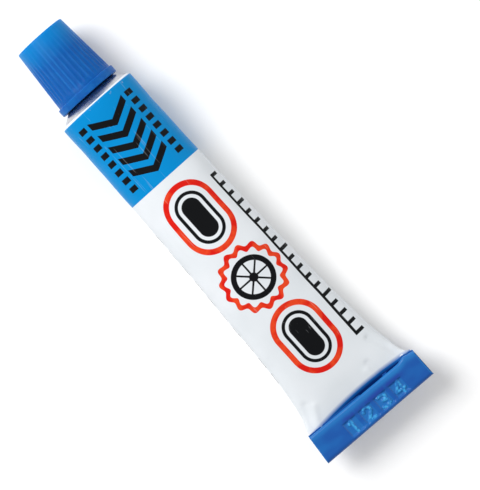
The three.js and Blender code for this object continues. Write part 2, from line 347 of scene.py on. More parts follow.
def body_section(place):
    """Half width, half height, corner power and level of the pressed body at places along it. With
    s the share of the way to the fold, the closing is (1 - s^2)^(1/2.2): the height closes and the
    width opens with it, and the mid-line sags where the tube is full."""
    share = np.clip((RIM_X - place) / TUBE_LENGTH, 0.0, 1.0)
    closing = (1.0 - share**CLOSING_POWER) ** (1.0 / FULLNESS)
    half_height = TAIL_HALF_HEIGHT + (TUBE_RADIUS - TAIL_HALF_HEIGHT) * closing
    half_width = TUBE_RADIUS + (BODY_HALF_WIDTH - TUBE_RADIUS) * (1.0 - closing)
    power = 2.0 / (2.0 + SQUARENESS * (1.0 - closing))
    sag = BELLY_SAG * (TUBE_RADIUS - half_height) * half_height / TUBE_RADIUS
    level = AXIS_Z - BELLY_SINK * smooth((RIM_X - place) / BELLY_RUN) - sag
    return half_width, half_height, power, level


def handling_dents(x, girth, y, upper):
    """How far handling has pressed the wall in: long shallow waves, a few soft dents as bells, and
    the creases and small ridges, bells across a line, that run from the fold into the wall."""
    waves = WAVE * np.sin(0.43 * x + 0.8) * np.sin(0.29 * girth + 0.4)
    waves = waves + RIPPLE * np.sin(0.9 * x - 0.5 * girth)
    dents = sum(
        depth * bell((x - middle_x) / reach_x) * bell((girth - middle_girth) / reach_girth)
        for depth, middle_x, middle_girth, reach_x, reach_girth in DENTS)
    creases = sum(
        depth * bell(line_distance(x, y, start, end) / width)
        for depth, start, end, width in CREASES)
    away_from_rim = smooth((RIM_X - RIM_CLEAR - x) / RIM_FADE)
    near_fold = smooth(((RIM_X - x) / TUBE_LENGTH - CREASE_FROM) / CREASE_RUN)
    return away_from_rim * (waves + WAVE + RIPPLE + dents) + near_fold * upper * creases


def fold_edge(y):
    """Place of the fold's rounded edge across the tail, on a slight slant: near its right end an
    ear rises by a square curve and falls off straight to the end."""
    ear = np.clip((-y - FOLD_EAR_START) / FOLD_EAR_RUN, 0.0, 1.0) ** 2
    ear = ear * np.clip((TAIL_HALF_WIDTH + y) / FOLD_EAR_FALL, 0.0, 1.0)
    return FOLD_X + FOLD_EDGE_SHIFT + FOLD_EDGE_SLANT * y + FOLD_EAR * ear


def spread(x, y):
    """A place across the soft body, moved out to both sides: fully from the middle of the tube to
    its rim, fading out toward the tail, toward the neck and toward the middle plane."""
    reach = np.where(y < 0, SPREAD_RIGHT, SPREAD_LEFT) * smooth((x - SPREAD_FROM) / SPREAD_RUN)
    reach = reach * smooth((NECK_FOOT - x) / (NECK_FOOT - RIM_X))
    return y + np.sign(y) * reach * smooth(np.abs(y) / TUBE_RADIUS)


def pinched(x, y):
    """The wall's place across the tube, drawn in a little at both sides, each time as a bell along
    it: over a waist, just above the fold, and with the fold's narrower left end."""
    pinch = np.where(y < 0, PINCH_RIGHT, PINCH_LEFT) * bell((x - FOLD_X - PINCH_ABOVE) / PINCH_RUN)
    left_end = bell((x - FOLD_X + LEFT_PINCH_BELOW) / LEFT_PINCH_RUN)
    pinch += np.where(y < 0, 0.0, LEFT_PINCH) * left_end
    waist = WAIST * bell((x - WAIST_X) / WAIST_RUN)
    return y * (1.0 - (pinch + waist) * smooth(np.abs(y) / DRAWN_FROM) / DRAWN_FROM)


def sections(places, angle, inset):
    """Points of the body's superellipse sections, set in from the wall, |y/a|^n + |z/b|^n = 1, with
    their level and a normal."""
    half_width, half_height, power, level = (v[:, None] for v in body_section(places))
    across, upward = np.cos(angle), np.sin(angle)
    y = (half_width - inset) * np.sign(across) * np.abs(across) ** power
    z = (half_height - inset) * np.sign(upward) * np.abs(upward) ** power
    x = np.broadcast_to(places[:, None], y.shape)
    return x, y, z, level, y / half_width**2, z / half_height**2


def tube_wall():
    """The printed wall: superellipse sections carried from the rim to the fold, pressed flat where
    the belly lies and dented along the section's own normal. The same surface, set in by the wall,
    is its inner skin, and a narrow flat row closes the end under the fold."""
    places = RIM_X - np.concatenate([
        np.linspace(RIM_TANGENT, BODY_RUN, BODY_ROWS),
        np.linspace(BODY_RUN, TUBE_LENGTH, TAIL_ROWS)[1:],
        [TUBE_LENGTH + WALL_UNDER_FOLD],
    ])
    angle = turn_angles(WALL_COLUMNS) - np.pi / 2
    x, y, z, level, normal_y, normal_z = sections(places, angle, 0.0)
    steps = np.hypot(*(np.diff(side, axis=1, append=side[:, :1]) for side in (y, z)))
    girth = np.concatenate([np.zeros((len(y), 1)), np.cumsum(steps, axis=1)], axis=1)
    girth -= girth[:, -1:] / 2
    size = np.hypot(normal_y, normal_z)
    inward = handling_dents(x, girth[:, :-1], y, smooth(np.sin(angle) / CREASE_SIDE))
    y = spread(x, pinched(x, y - inward * normal_y / size))
    z = z + level - inward * normal_z / size
    outer = np.stack([x, y, np.maximum(z, 0.0)], axis=-1)

    kept = np.flatnonzero(places > FOLD_X + TAIL_WALL)[::-INNER_STEP]
    kept = np.concatenate([kept, [0]])
    set_in_y = (y - TUBE_WALL * normal_y / size)[kept]
    set_in_z = (z - TUBE_WALL * normal_z / size)[kept]
    inner = np.stack([x[kept], set_in_y, np.maximum(set_in_z, TUBE_WALL)], axis=-1)
    end_y = FLAT_END_WIDTH * y[-1]
    end_z = TAIL_Z - FLAT_END_DROP + FLAT_END_HEIGHT * (z[-1] - TAIL_Z)
    flat_end = np.stack([x[-1] + WALL_UNDER_FOLD, end_y, end_z], axis=-1)[None]

    inner_girth = np.full_like(girth[kept], INNER_GIRTH)
    map_outer = np.stack(np.broadcast_arrays(places[:, None], girth), axis=-1)
    map_inner = np.stack(np.broadcast_arrays(places[kept, None], inner_girth), axis=-1)
    uv = np.concatenate([map_outer, map_outer[-1:], map_inner, map_inner[-1:]]) / MAP_SPAN + 0.5
    return skin("enamelled_wall", np.concatenate([outer, flat_end, inner]), loop_rows=True, uv=uv)


def sealant_band():
    """The latex band: the body's sections, set in from the wall, between two places just above the
    fold."""
    places = np.linspace(sealant_low[0], sealant_high[0], SEALANT_ROWS)
    inset = TUBE_WALL + SEALANT_INSET
    x, y, z, level, _, _ = sections(places, turn_angles(SEALANT_COLUMNS), inset)
    grid = np.stack([x, SEALANT_WIDTH * pinched(x, y), z + level], axis=-1)
    return skin("latex_band", grid, poles=True)


# Shoulder, neck and seal

def shoulder_and_neck():
    """One profile turned round the axis: rounded rim, shoulder cone, neck with its thread ridge
    standing on it, rolled lip, seat of the seal, bore and the inside of the cone."""
    inside = SHOULDER_WALL / np.cos(np.radians(SHOULDER_ANGLE))
    cone_inside = NECK_FOOT - inside + (NECK_RADIUS - BORE_RADIUS) * SHOULDER_SLOPE
    profile = rounded([
        (TUBE_RADIUS, RIM_X - RIM_TANGENT, 0.0),
        (TUBE_RADIUS, RIM_X, RIM_ROUNDING * 0.98),
        (NECK_RADIUS, NECK_FOOT, 0.35),
        (NECK_RADIUS, NECK_TIP, 0.18),
        (SEAL_SEAT_RADIUS, NECK_TIP, 0.1),
        (SEAL_SEAT_RADIUS, NECK_TIP - SEAL_SEAT_DEPTH, 0.04),
        (BORE_RADIUS, NECK_TIP - SEAL_SEAT_DEPTH, 0.08),
        (BORE_RADIUS, cone_inside, 0.3),
        (TUBE_RADIUS - TUBE_WALL, RIM_X - inside + TUBE_WALL * SHOULDER_SLOPE, 0.1),
        (TUBE_RADIUS - TUBE_WALL, RIM_X - RIM_TANGENT, 0.0),
    ], SHOULDER_STEP)
    straight = (np.abs(profile[:, 0] - NECK_RADIUS) < 1e-6) & (profile[:, 1] > NECK_FOOT)
    first, last = np.flatnonzero(straight)[[0, -1]]
    neck = np.linspace(profile[first], profile[last], NECK_ROWS)
    profile = np.concatenate([profile[:first], neck, profile[last + 1:]])
    radius, place = profile[:, :1], profile[:, 1:]
    angle = turn_angles(SHOULDER_COLUMNS)
    on_neck = (radius > NECK_RADIUS - 0.02) & (radius < NECK_RADIUS + 0.3)
    on_neck &= place > NECK_FOOT + 0.1
    rise = thread_rise(place, angle, NECK_TIP - THREAD_TOP_LAND, THREAD_TURNS)
    radius = radius + np.where(on_neck, (THREAD_RADIUS - NECK_RADIUS) * rise, 0.0)
    grid = turned_grid(radius, place, angle)
    grid[..., 1] = spread(grid[..., 0], grid[..., 1])
    return skin("bare_shoulder", grid, loop_rows=True, sharp=SHARP_BY_THREAD)


def seal_disc():
    """A thin disc turned round the axis, with a rounded edge and a shallow ring, a bell across,
    pressed into its middle."""
    radius, place = disc_profile(seal_low, seal_high, SEAL_EDGE)
    ring = SEAL_RING * bell((radius - SEAL_RING_RADIUS) / SEAL_RING_WIDTH)
    grid = turned_grid(radius, place - ring, turn_angles(SEAL_COLUMNS))
    return skin("seal_disc", grid, poles=True)


# Folded tail

DIGIT_STROKES = {
    "1": [(0.2, 0.78), (0.55, 1.0), (0.55, 0.0)],
    "2": [(0.05, 0.78), (0.25, 0.97), (0.6, 1.0), (0.92, 0.84), (0.9, 0.6), (0.02, 0.0),
          (1.0, 0.0)],
    "3": [(0.05, 0.93), (0.5, 1.0), (0.92, 0.84), (0.86, 0.6), (0.4, 0.53), (0.92, 0.42),
          (0.95, 0.14), (0.5, 0.0), (0.03, 0.09)],
    "4": [(0.74, 0.0), (0.74, 1.0), (0.0, 0.28), (1.0, 0.28)],
}


def pressed_marks(u, y):
    """Relief of the pressed type on the fold's top: the die has pressed a long shallow trough, each
    block is a square well in it, and a plain digit stands up inside, drawn as the points within
    half a stroke of its lines."""
    trough_ends = 1.5 * DIGIT_PITCH + DIE_END - np.abs(y - DIGIT_MIDDLE)
    trough = smooth((DIE_HALF_HEIGHT - np.abs(u - DIGIT_PLACE)) / DIE_SIDE_RUN)
    relief = -DIE_DEPTH * trough * smooth(trough_ends / DIE_END_RUN)
    raised = np.zeros(relief.shape)
    blocks = np.zeros(relief.shape)
    for order, digit in enumerate("1234"):
        right = DIGIT_MIDDLE + (1.5 - order) * DIGIT_PITCH - y
        up = DIGIT_PLACE - u
        block = np.maximum(np.abs(right) - BLOCK_HALF_WIDTH, np.abs(up) - BLOCK_HALF_HEIGHT)
        well = smooth(0.5 - block / BLOCK_EDGE)
        corners = (np.array(DIGIT_STROKES[digit]) - 0.5) * [DIGIT_WIDTH, DIGIT_HEIGHT]
        away = np.minimum.reduce([
            line_distance(right, up, *ends) for ends in zip(corners[:-1], corners[1:])])
        stroke = smooth((DIGIT_STROKE - away) / STROKE_EDGE + 0.5)
        relief += PRESS_DEPTH * well * (stroke - 1.0)
        raised += well * stroke
        blocks += well
    return relief, raised, blocks


def fold_path():
    """Centre line of the doubled sheet, seen from its end: a base run, a bend over the end of the
    tube, a top run back to the body, a bend under, and a middle run. Each row is a place and the
    sheet's outer normal."""
    half = FOLD_LAYER / 2
    outer = FOLD_LENGTH - FOLD_PITCH - half
    inner = FOLD_PITCH / 2 + half

    def run(start, end, level, count):
        u = np.linspace(start, end, count)
        return np.stack(np.broadcast_arrays(u, level, 0.0, -np.sign(end - start)), axis=-1)

    def bend(u, level, radius, start, end):
        angle = np.radians(np.linspace(start, end, BEND_ROWS))
        c, s = np.cos(angle), np.sin(angle)
        return np.stack([u + radius * c, level + radius * s, c, s], axis=-1)

    return np.concatenate([
        run(-FOLD_TUCK, outer, 0.0, RUN_ROWS)[:-1],
        bend(outer, FOLD_PITCH, FOLD_PITCH, -90, 90),
        run(outer, inner, 2 * FOLD_PITCH, TOP_ROWS)[1:-1],
        bend(inner, 1.5 * FOLD_PITCH, FOLD_PITCH / 2, 90, 270),
        run(inner, outer, FOLD_PITCH, RUN_ROWS)[1:],
    ])


def folded_tail():
    """The folded sheet carried across the tail: both faces of the sheet follow its centre line at
    half its thickness, the ends are a little ragged, the whole roll waves slightly, and the type is
    pressed in. Masks for the painted highlight on the rounded edge and cut ends, the raised type,
    the blocks and the painted shade on the trough's side are kept as attributes."""
    path = fold_path()
    u, level, normal_u, normal_w = (column[:, None] for column in path.T)
    share = np.linspace(-1.0, 1.0, FOLD_COLUMNS)[None, :]
    order = np.arange(len(path))[:, None]
    top = (normal_w > 0.5) & (level > FOLD_PITCH * 1.9)
    reach_minus = TAIL_HALF_WIDTH - TOP_SHORT * smooth((order - TOP_SHORT_ROW) / TOP_SHORT_ROWS)
    reach_minus = reach_minus + MIDDLE_LONG * smooth((order - MIDDLE_LONG_ROW) / MIDDLE_LONG_ROWS)
    reach_plus = TAIL_HALF_WIDTH - LEFT_SHORT - LEFT_DRAW_IN * (1.0 - u / FOLD_LENGTH)
    y = np.where(share < 0, share * reach_minus, share * reach_plus)
    relief, raised, blocks = (np.where(top, marks, 0.0) for marks in pressed_marks(u, y))
    sides = []
    for side, lift in ((1.0, relief), (-1.0, 0.0)):
        along = u + side * FOLD_LAYER / 2 * normal_u
        height = level + side * FOLD_LAYER / 2 * normal_w + lift
        wave = ROLL_WAVE * np.sin(0.31 * y + 0.6)
        wave = wave + ROLL_RIPPLE * np.sin(0.83 * y + 0.5 * along)
        edge = fold_edge(y)
        end = TAIL_END + TAIL_END_SLANT * (y + TAIL_HALF_WIDTH)
        x = edge + (end - edge) * along / FOLD_LENGTH
        sides.append(np.stack(np.broadcast_arrays(x, y, TAIL_Z + height + wave), axis=-1))
    grid = np.concatenate([sides[0], sides[1][::-1]])
    count = len(path)
    row = np.arange(count - 1)
    rim = np.stack([row, row + 1, 2 * count - 2 - row, 2 * count - 1 - row], axis=1) * FOLD_COLUMNS
    ends = np.concatenate([rim[:, ::-1], rim + FOLD_COLUMNS - 1])
    piece = skin("folded_tail", grid, loop_rows=True, loop_columns=False, more_faces=ends)

    # Painted highlight: pale along the rounded upper edge, on the inner bend that faces the body
    # and along both cut ends.
    edge_highlight = np.where(top, bell((u - FOLD_PITCH) / EDGE_HIGHLIGHT_WIDTH), smooth(-normal_u * 1.5))
    # Painted shade: a band along the trough's upper side, which faces away from the light.
    trough_side_shade = bell((u - DIGIT_PLACE + DIE_HALF_HEIGHT) / TROUGH_SHADE_WIDTH)
    trough_ends = smooth((TROUGH_SHADE_REACH - np.abs(y - DIGIT_MIDDLE)) / DIE_END_RUN)
    cut_end = smooth((np.abs(share) - CUT_END) / CUT_END_RUN)
    plain = np.zeros(y.shape)
    marks = {
        "pale": (np.maximum(edge_highlight, cut_end), plain + cut_end),
        "raised": (raised, plain),
        "block": (blocks, plain),
        "trough_side_shade": (np.where(top, trough_side_shade * trough_ends, 0.0), plain),
    }
    for name, (front, back) in marks.items():
        values = np.concatenate([front, back[::-1]]).astype(np.float32)
        attribute = piece.data.attributes.new(name, "FLOAT", "POINT")
        attribute.data.foreach_set("value", values.ravel())
    return piece


# Screw cap and liner

def screw_cap():
    """One profile turned round the axis, from the tip of the piercing point over the outside to the
    middle of the inside: the side is drawn in by a flute wave round the cap, which runs out at both
    ends, and a thread ridge stands in the bore."""
    foot_radius = CAP_END_RADIUS + CAP_TAPER
    mouth_radius = FLANGE_RADIUS - FLANGE_WALL
    bore_foot = CAP_MOUTH + (mouth_radius - CAP_BORE) * SHOULDER_SLOPE
    profile = rounded([
        (0.02, CAP_END - SPIKE_SETBACK, 0.0),
        (0.12, CAP_END - SPIKE_SETBACK - 0.05, 0.05),
        (SPIKE_RADIUS, RECESS_FLOOR, 0.15),
        (RECESS_RADIUS, RECESS_FLOOR, 0.15),
        (RECESS_RADIUS, CAP_END, 0.1),
        (CAP_END_RADIUS, CAP_END, 0.1),
        (foot_radius, FLANGE_TOP, 0.12),
        (FLANGE_RADIUS, FLANGE_TOP, 0.12),
        (FLANGE_RADIUS, CAP_MOUTH, 0.18),
        (mouth_radius, CAP_MOUTH, 0.12),
        (CAP_BORE, bore_foot, 0.15),
        (CAP_BORE, CAP_CEILING, 0.12),
        (0.02, CAP_CEILING, 0.0),
    ], CAP_STEP)
    radius, place = profile[:, :1], profile[:, 1:]
    angle = turn_angles(FLUTE_COUNT * COLUMNS_PER_FLUTE)
    order = np.arange(len(profile))[:, None]
    outside = (radius > CAP_END_RADIUS - 0.1) & (radius < foot_radius + 0.02)
    outside &= (place > FLANGE_TOP) & (order < np.argmax(radius))
    foot_run_out = (place - FLANGE_TOP - FLUTE_FOOT) / FLUTE_FOOT_RUN
    end_run_out = (CAP_END - BAND_HEIGHT - place) / FLUTE_RUN_OUT
    groove = 1.0 - ((1.0 + np.cos(FLUTE_COUNT * angle)) / 2) ** 2
    flute = FLUTE_DEPTH * smooth(np.minimum(foot_run_out, end_run_out)) * groove
    bore = (order > np.argmax(radius)) & (np.abs(radius - CAP_BORE) < 0.02)
    ridge_top = NECK_TIP - THREAD_TOP_LAND - 1.5 * THREAD_PITCH
    ridge = CAP_BORE - NECK_RADIUS - CAP_THREAD_CLEARANCE
    ridge = ridge * thread_rise(place, angle, ridge_top, CAP_THREAD_TURNS)
    radius = radius - np.where(outside, flute, 0.0) - np.where(bore, ridge, 0.0)
    return skin("fluted_cap", turned_grid(radius, place, angle), poles=True)


def foam_liner():
    """A soft disc turned round the axis: rounded edges, and on its underside the shallow ring, a
    flat-topped bell across, that the end of the neck has pressed into it."""
    radius, place = disc_profile(liner_low, liner_high, LINER_EDGE)
    under = place < (liner_low[0] + liner_high[0]) / 2
    ring = NECK_PRINT * bell(((radius - NECK_PRINT_RADIUS) / NECK_PRINT_WIDTH) ** 2)
    place = place + np.where(under, ring, 0.0)
    grid = turned_grid(radius, place, turn_angles(LINER_COLUMNS))
    return skin("foam_liner", grid, poles=True)


# Finishes

def shade(red, green, blue):
    """A colour as it looks on screen, in 0 to 255, turned into linear light by the sRGB curve."""
    c = np.array([red, green, blue]) / 255.0
    linear = np.where(c <= 0.04045, c / 12.92, ((c + 0.055) / 1.055) ** 2.4)
    return (*linear.tolist(), 1.0)


def wire(tree, socket, item):
    """Sets a socket to a plain value, or links a field to it."""
    if isinstance(item, Field):
        tree.links.new(item.socket, socket)
    else:
        socket.default_value = item


class Field:
    """A value that varies over a surface: the output of a shader node, which arithmetic carries
    on."""

    def __init__(self, tree, socket):
        self.tree = tree
        self.socket = socket

    def math(self, operation, *others, clamp=False):
        node = self.tree.nodes.new("ShaderNodeMath")
        node.operation = operation
        node.use_clamp = clamp
        for socket, item in zip(node.inputs, (self, *others)):
            wire(self.tree, socket, item)
        return Field(self.tree, node.outputs[0])

    def __add__(self, other):
        return self.math("ADD", other)

    def __sub__(self, other):
        return self.math("SUBTRACT", other)

    def __mul__(self, other):
        return self.math("MULTIPLY", other)

    def __abs__(self):
        return self.math("ABSOLUTE")

    def most(self, other):
        return self.math("MAXIMUM", other)

    def least(self, other):
        return self.math("MINIMUM", other)

    def below(self, edge, softness):
        """1 below an edge and 0 above it, with a straight ramp as wide as the softness between."""
        return ((self - edge) * (-1.0 / softness)).math("ADD", 0.5, clamp=True)

    def above(self, edge, softness):
        """0 below an edge and 1 above it, with the same ramp."""
        return ((self - edge) * (1.0 / softness)).math("ADD", 0.5, clamp=True)

    def between(self, low, high, softness):
        return self.above(low, softness) * self.below(high, softness)

    def repeated(self, pitch):
        """The place inside a repeated cell, from 0 to the pitch."""
        return (self * (1.0 / pitch)).math("FLOORED_MODULO", 1.0) * pitch


def length(a, b):
    """The root of the two squares' sum."""
    return (a * a + b * b).math("SQRT")


class Finish:
    """A material with one shader, whose sockets are set or wired by name."""

    def __init__(self, name, **values):
        self.material = bpy.data.materials.new(name)
        self.material.use_nodes = True
        self.tree = self.material.node_tree
        self.shader = self.tree.nodes["Principled BSDF"]
        self.set(**values)
        self.place = self.tree.nodes.new("ShaderNodeTexCoord").outputs["Object"]

    def set(self, **values):
        for name, item in values.items():
            wire(self.tree, self.shader.inputs[name.replace("_", " ")], item)

    def axes(self, socket, scale, shift):
        """The parts of a coordinate, scaled and shifted into millimetres."""
        node = self.tree.nodes.new("ShaderNodeSeparateXYZ")
        self.tree.links.new(socket, node.inputs[0])
        return [Field(self.tree, out) * scale + shift for out in node.outputs]

    def object_axes(self):
        return self.axes(self.place, 1.0 / MM, 0.0)

    def printed_axes(self):
        """Place along the tube and round its girth, in millimetres, from the wall's own map."""
        node = self.tree.nodes.new("ShaderNodeUVMap")
        node.uv_map = "print"
        along, girth, _ = self.axes(node.outputs[0], MAP_SPAN, -MAP_SPAN / 2)
        return along, girth

    def attribute(self, name):
        node = self.tree.nodes.new("ShaderNodeAttribute")
        node.attribute_name = name
        return Field(self.tree, node.outputs["Fac"])

    def noise(self, size, detail=3.0, roughness=0.55, stretch=None):
        """Noise whose lumps are about a size in millimetres; a stretch scales the three directions
        first."""
        node = self.tree.nodes.new("ShaderNodeTexNoise")
        node.inputs["Scale"].default_value = 1.0 / (size * MM)
        node.inputs["Detail"].default_value = detail
        node.inputs["Roughness"].default_value = roughness
        source = self.place
        if stretch is not None:
            mapping = self.tree.nodes.new("ShaderNodeMapping")
            mapping.inputs["Scale"].default_value = stretch
            self.tree.links.new(source, mapping.inputs["Vector"])
            source = mapping.outputs[0]
        self.tree.links.new(source, node.inputs["Vector"])
        return Field(self.tree, node.outputs[0])

    def mix(self, factor, first, second):
        node = self.tree.nodes.new("ShaderNodeMix")
        node.data_type = "RGBA"
        for place, item in ((0, factor), (6, first), (7, second)):
            wire(self.tree, node.inputs[place], item)
        return Field(self.tree, node.outputs[2])

    def bump(self, height, distance):
        """Relief from a height field: the distance is the real height of a step from 0 to 1, in
        millimetres."""
        node = self.tree.nodes.new("ShaderNodeBump")
        node.inputs["Distance"].default_value = distance * MM
        wire(self.tree, node.inputs["Height"], height)
        self.tree.links.new(node.outputs[0], self.shader.inputs["Normal"])


WHITE_ENAMEL = shade(225, 229, 233)
AGED_ENAMEL = shade(219, 224, 228)
INNER_LACQUER = shade(206, 172, 104)
BAND_BLUE = shade(8, 134, 200)
FOLD_BLUE = shade(20, 98, 174)
FOLD_BLUE_DEEP = shade(16, 82, 162)
CREVICE_SHADE_NAVY = shade(8, 40, 104)
# painted shade on the fold's trough side
FOLD_SHADE_INDIGO = shade(28, 58, 150)
FOLD_BLUE_PALE = shade(32, 118, 188)
TYPE_GLINT_CYAN = shade(66, 168, 224)
INK_BLACK = shade(20, 21, 23)
PATCH_RED = shade(212, 30, 22)
PATCH_RED_PALE = shade(226, 70, 36)
ALUMINIUM = shade(206, 207, 210)
DULL_ALUMINIUM = shade(172, 174, 178)
CAP_BLUE = shade(12, 86, 162)
CAP_END_SHEEN_BLUE = shade(8, 128, 196)
CAP_CREST_HIGHLIGHT_BLUE = shade(38, 122, 196)
FOAM_WHITE, FOAM_YELLOWED = shade(240, 240, 234), shade(224, 221, 206)
CEMENT_DEEP, CEMENT_PALE = shade(206, 170, 96), shade(236, 212, 150)
LATEX_DEEP, LATEX_PALE = shade(214, 204, 172), shade(238, 232, 210)

# Print on the wall: places along the tube and round its girth from the middle of the top
BAND_TOP, BAND_FOOT, BAND_EDGE = RIM_X, 10.9, 0.05
INK_EDGE, TREAD_EDGE, DASH_EDGE = 0.06, 0.07, 0.08  # softness of the printed edges
PRINT_MIDDLE = -10.0  # the wheel, with a patch on both sides
PATCH_PITCH, PATCH_HALF_STRAIGHT, PATCH_RADIUS = 12.7, 2.0, 4.5
FRAME_WIDTH = 0.95
RUBBER_LINE, RUBBER_PAD = (-2.35, -1.8), -2.9  # from the patch's edge
WHEEL_FRAME, SCALLOPS, SCALLOP_DEPTH = 5.4, 14.0, 0.32
TYRE, HUB, SPOKE, SPOKE_REACH = (2.7, 3.6), 0.75, 0.15, 2.9
SCALE_GIRTH, SCALE_HALF_LINE, SCALE_SPAN = 6.4, 0.26, (-28.0, 6.62)
TICK_PITCH, TICK_WIDTH, TICK_END = 2.0, 0.62, 8.2
LONG_TICK_PITCH, LONG_TICK_CELL, LONG_TICK_EDGE = 10.0, 1.0, 0.02
DASH_PITCH, DASH, DASH_GIRTH, DASH_SPAN = 3.2, 2.0, (-10.3, -9.7), (-26.5, 5.8)
EYE_MARK_GIRTH, EYE_MARK_SPAN = (17.5, 40.0), (-31.5, -28.5)
TREAD_FOOT = BAND_FOOT + 1.6
CHEVRON_SLANT, CHEVRON_PITCH, CHEVRON = 0.55, 2.4, 1.25
CHEVRON_SPAN, CHEVRON_REACH = (-0.2, 11.0), 3.6
LUG_PITCH, LUG, LUG_SPAN, LUG_GIRTH = 1.7, 0.95, (-0.2, 12.85), (4.3, 5.9)
TAIL_PRINT_X, TAIL_PRINT_BOW = -34.6, -0.008  # the fold's blue starts on a bowed line


def enamel_finish():
    """Gloss enamel with its print. Printed shapes are distances on the wall's map, cut at their
    edges: tread marks on the blue band, framed repair motifs in a row below it and a plain tick
    scale along one side."""
    finish = Finish("printed_enamel", Specular_IOR_Level=0.04)
    along, girth = finish.printed_axes()
    aside = abs(girth)
    tone = finish.noise(9.0, 2.0)
    colour = finish.mix(tone.between(0.45, 0.75, 0.25), WHITE_ENAMEL, AGED_ENAMEL)

    from_middle = along - PRINT_MIDDLE
    oval_x = (abs(abs(from_middle) - PATCH_PITCH) - PATCH_HALF_STRAIGHT).most(0.0)
    oval = length(oval_x, girth) - PATCH_RADIUS
    wheel = length(from_middle, girth)
    scallops = (girth.math("ARCTAN2", from_middle) * SCALLOPS).math("COSINE") * SCALLOP_DEPTH
    patch = oval.least(wheel + scallops - WHEEL_FRAME)
    red_tone = finish.noise(2.6, 2.0).between(0.5, 0.7, 0.16)
    red = finish.mix(red_tone, PATCH_RED, PATCH_RED_PALE)
    colour = finish.mix(patch.between(-FRAME_WIDTH, 0.0, INK_EDGE), colour, red)
    rubber = oval.between(*RUBBER_LINE, INK_EDGE).most(oval.below(RUBBER_PAD, INK_EDGE))
    spokes = abs(from_middle * girth * (from_middle * from_middle - girth * girth))
    spokes = spokes.math("DIVIDE", wheel * wheel * wheel + 0.001).below(SPOKE, INK_EDGE)
    spokes = spokes * wheel.below(SPOKE_REACH, INK_EDGE)
    tyre = wheel.between(*TYRE, INK_EDGE).most(wheel.below(HUB, INK_EDGE)).most(spokes)
    colour = finish.mix(rubber.most(tyre), colour, INK_BLACK)

    tick = along.repeated(TICK_PITCH).below(TICK_WIDTH, INK_EDGE)
    long_tick = along.repeated(LONG_TICK_PITCH).below(LONG_TICK_CELL, LONG_TICK_EDGE)
    ticks = tick * girth.above(SCALE_GIRTH, INK_EDGE) * girth.below(long_tick + TICK_END, INK_EDGE)
    scale_line = (girth - SCALE_GIRTH).between(-SCALE_HALF_LINE, SCALE_HALF_LINE, INK_EDGE)
    scale = ticks.most(scale_line) * along.between(*SCALE_SPAN, INK_EDGE)
    dash = along.repeated(DASH_PITCH).below(DASH, DASH_EDGE)
    dash = dash * girth.between(*DASH_GIRTH, DASH_EDGE) * along.between(*DASH_SPAN, DASH_EDGE)
    colour = finish.mix(scale.most(dash), colour, INK_BLACK)
    eye_mark = aside.between(*EYE_MARK_GIRTH, DASH_EDGE) * along.between(*EYE_MARK_SPAN, DASH_EDGE)
    colour = finish.mix(eye_mark, colour, INK_BLACK)

    band = along.between(BAND_FOOT, BAND_TOP, BAND_EDGE)
    colour = finish.mix(band, colour, BAND_BLUE)
    slanted = along - aside * CHEVRON_SLANT - TREAD_FOOT
    chevron = slanted.repeated(CHEVRON_PITCH).below(CHEVRON, TREAD_EDGE)
    chevron = chevron * slanted.between(*CHEVRON_SPAN, TREAD_EDGE)
    chevron = chevron * aside.below(CHEVRON_REACH, TREAD_EDGE)
    beside = along - TREAD_FOOT
    lug = beside.repeated(LUG_PITCH).below(LUG, TREAD_EDGE)
    lug = lug * beside.between(*LUG_SPAN, TREAD_EDGE) * aside.between(*LUG_GIRTH, TREAD_EDGE)
    colour = finish.mix(chevron.most(lug), colour, INK_BLACK)

    hair = finish.noise(0.5, 3.0, 0.6, stretch=(0.02, 1.0, 1.0)).above(0.68, 0.05)
    colour = finish.mix(hair * 0.1, colour, WHITE_ENAMEL)

    above_fold = along - (girth * girth * TAIL_PRINT_BOW + TAIL_PRINT_X)
    colour = finish.mix(above_fold.below(0.15, 0.7), colour, FOLD_BLUE)
    # Painted shade: deep navy where the wall runs in under the fold's edge.
    colour = finish.mix(above_fold.below(-0.4, 0.5), colour, CREVICE_SHADE_NAVY)

    grain = finish.noise(0.7, 4.0, 0.65)
    rim_chips = along.above(RIM_X - 0.5, 0.3) * grain.above(0.64, 0.04)
    chips = rim_chips.most(finish.noise(3.1, 5.0, 0.7).above(0.75, 0.01))
    colour = finish.mix(chips * 0.6, colour, DULL_ALUMINIUM)
    colour = finish.mix(aside.above(INNER_GIRTH - 5.0, 1.0), colour, INNER_LACQUER)
    scuff = finish.noise(5.0, 6.0, 0.75, stretch=(0.35, 1.0, 1.0))
    roughness = scuff.between(0.5, 0.8, 0.25) * 0.16 + grain * 0.06 + 0.22
    finish.set(Base_Color=colour, Roughness=roughness)
    finish.bump(grain * 0.4 + scuff - chips * 0.8, 0.012)
    return finish.material


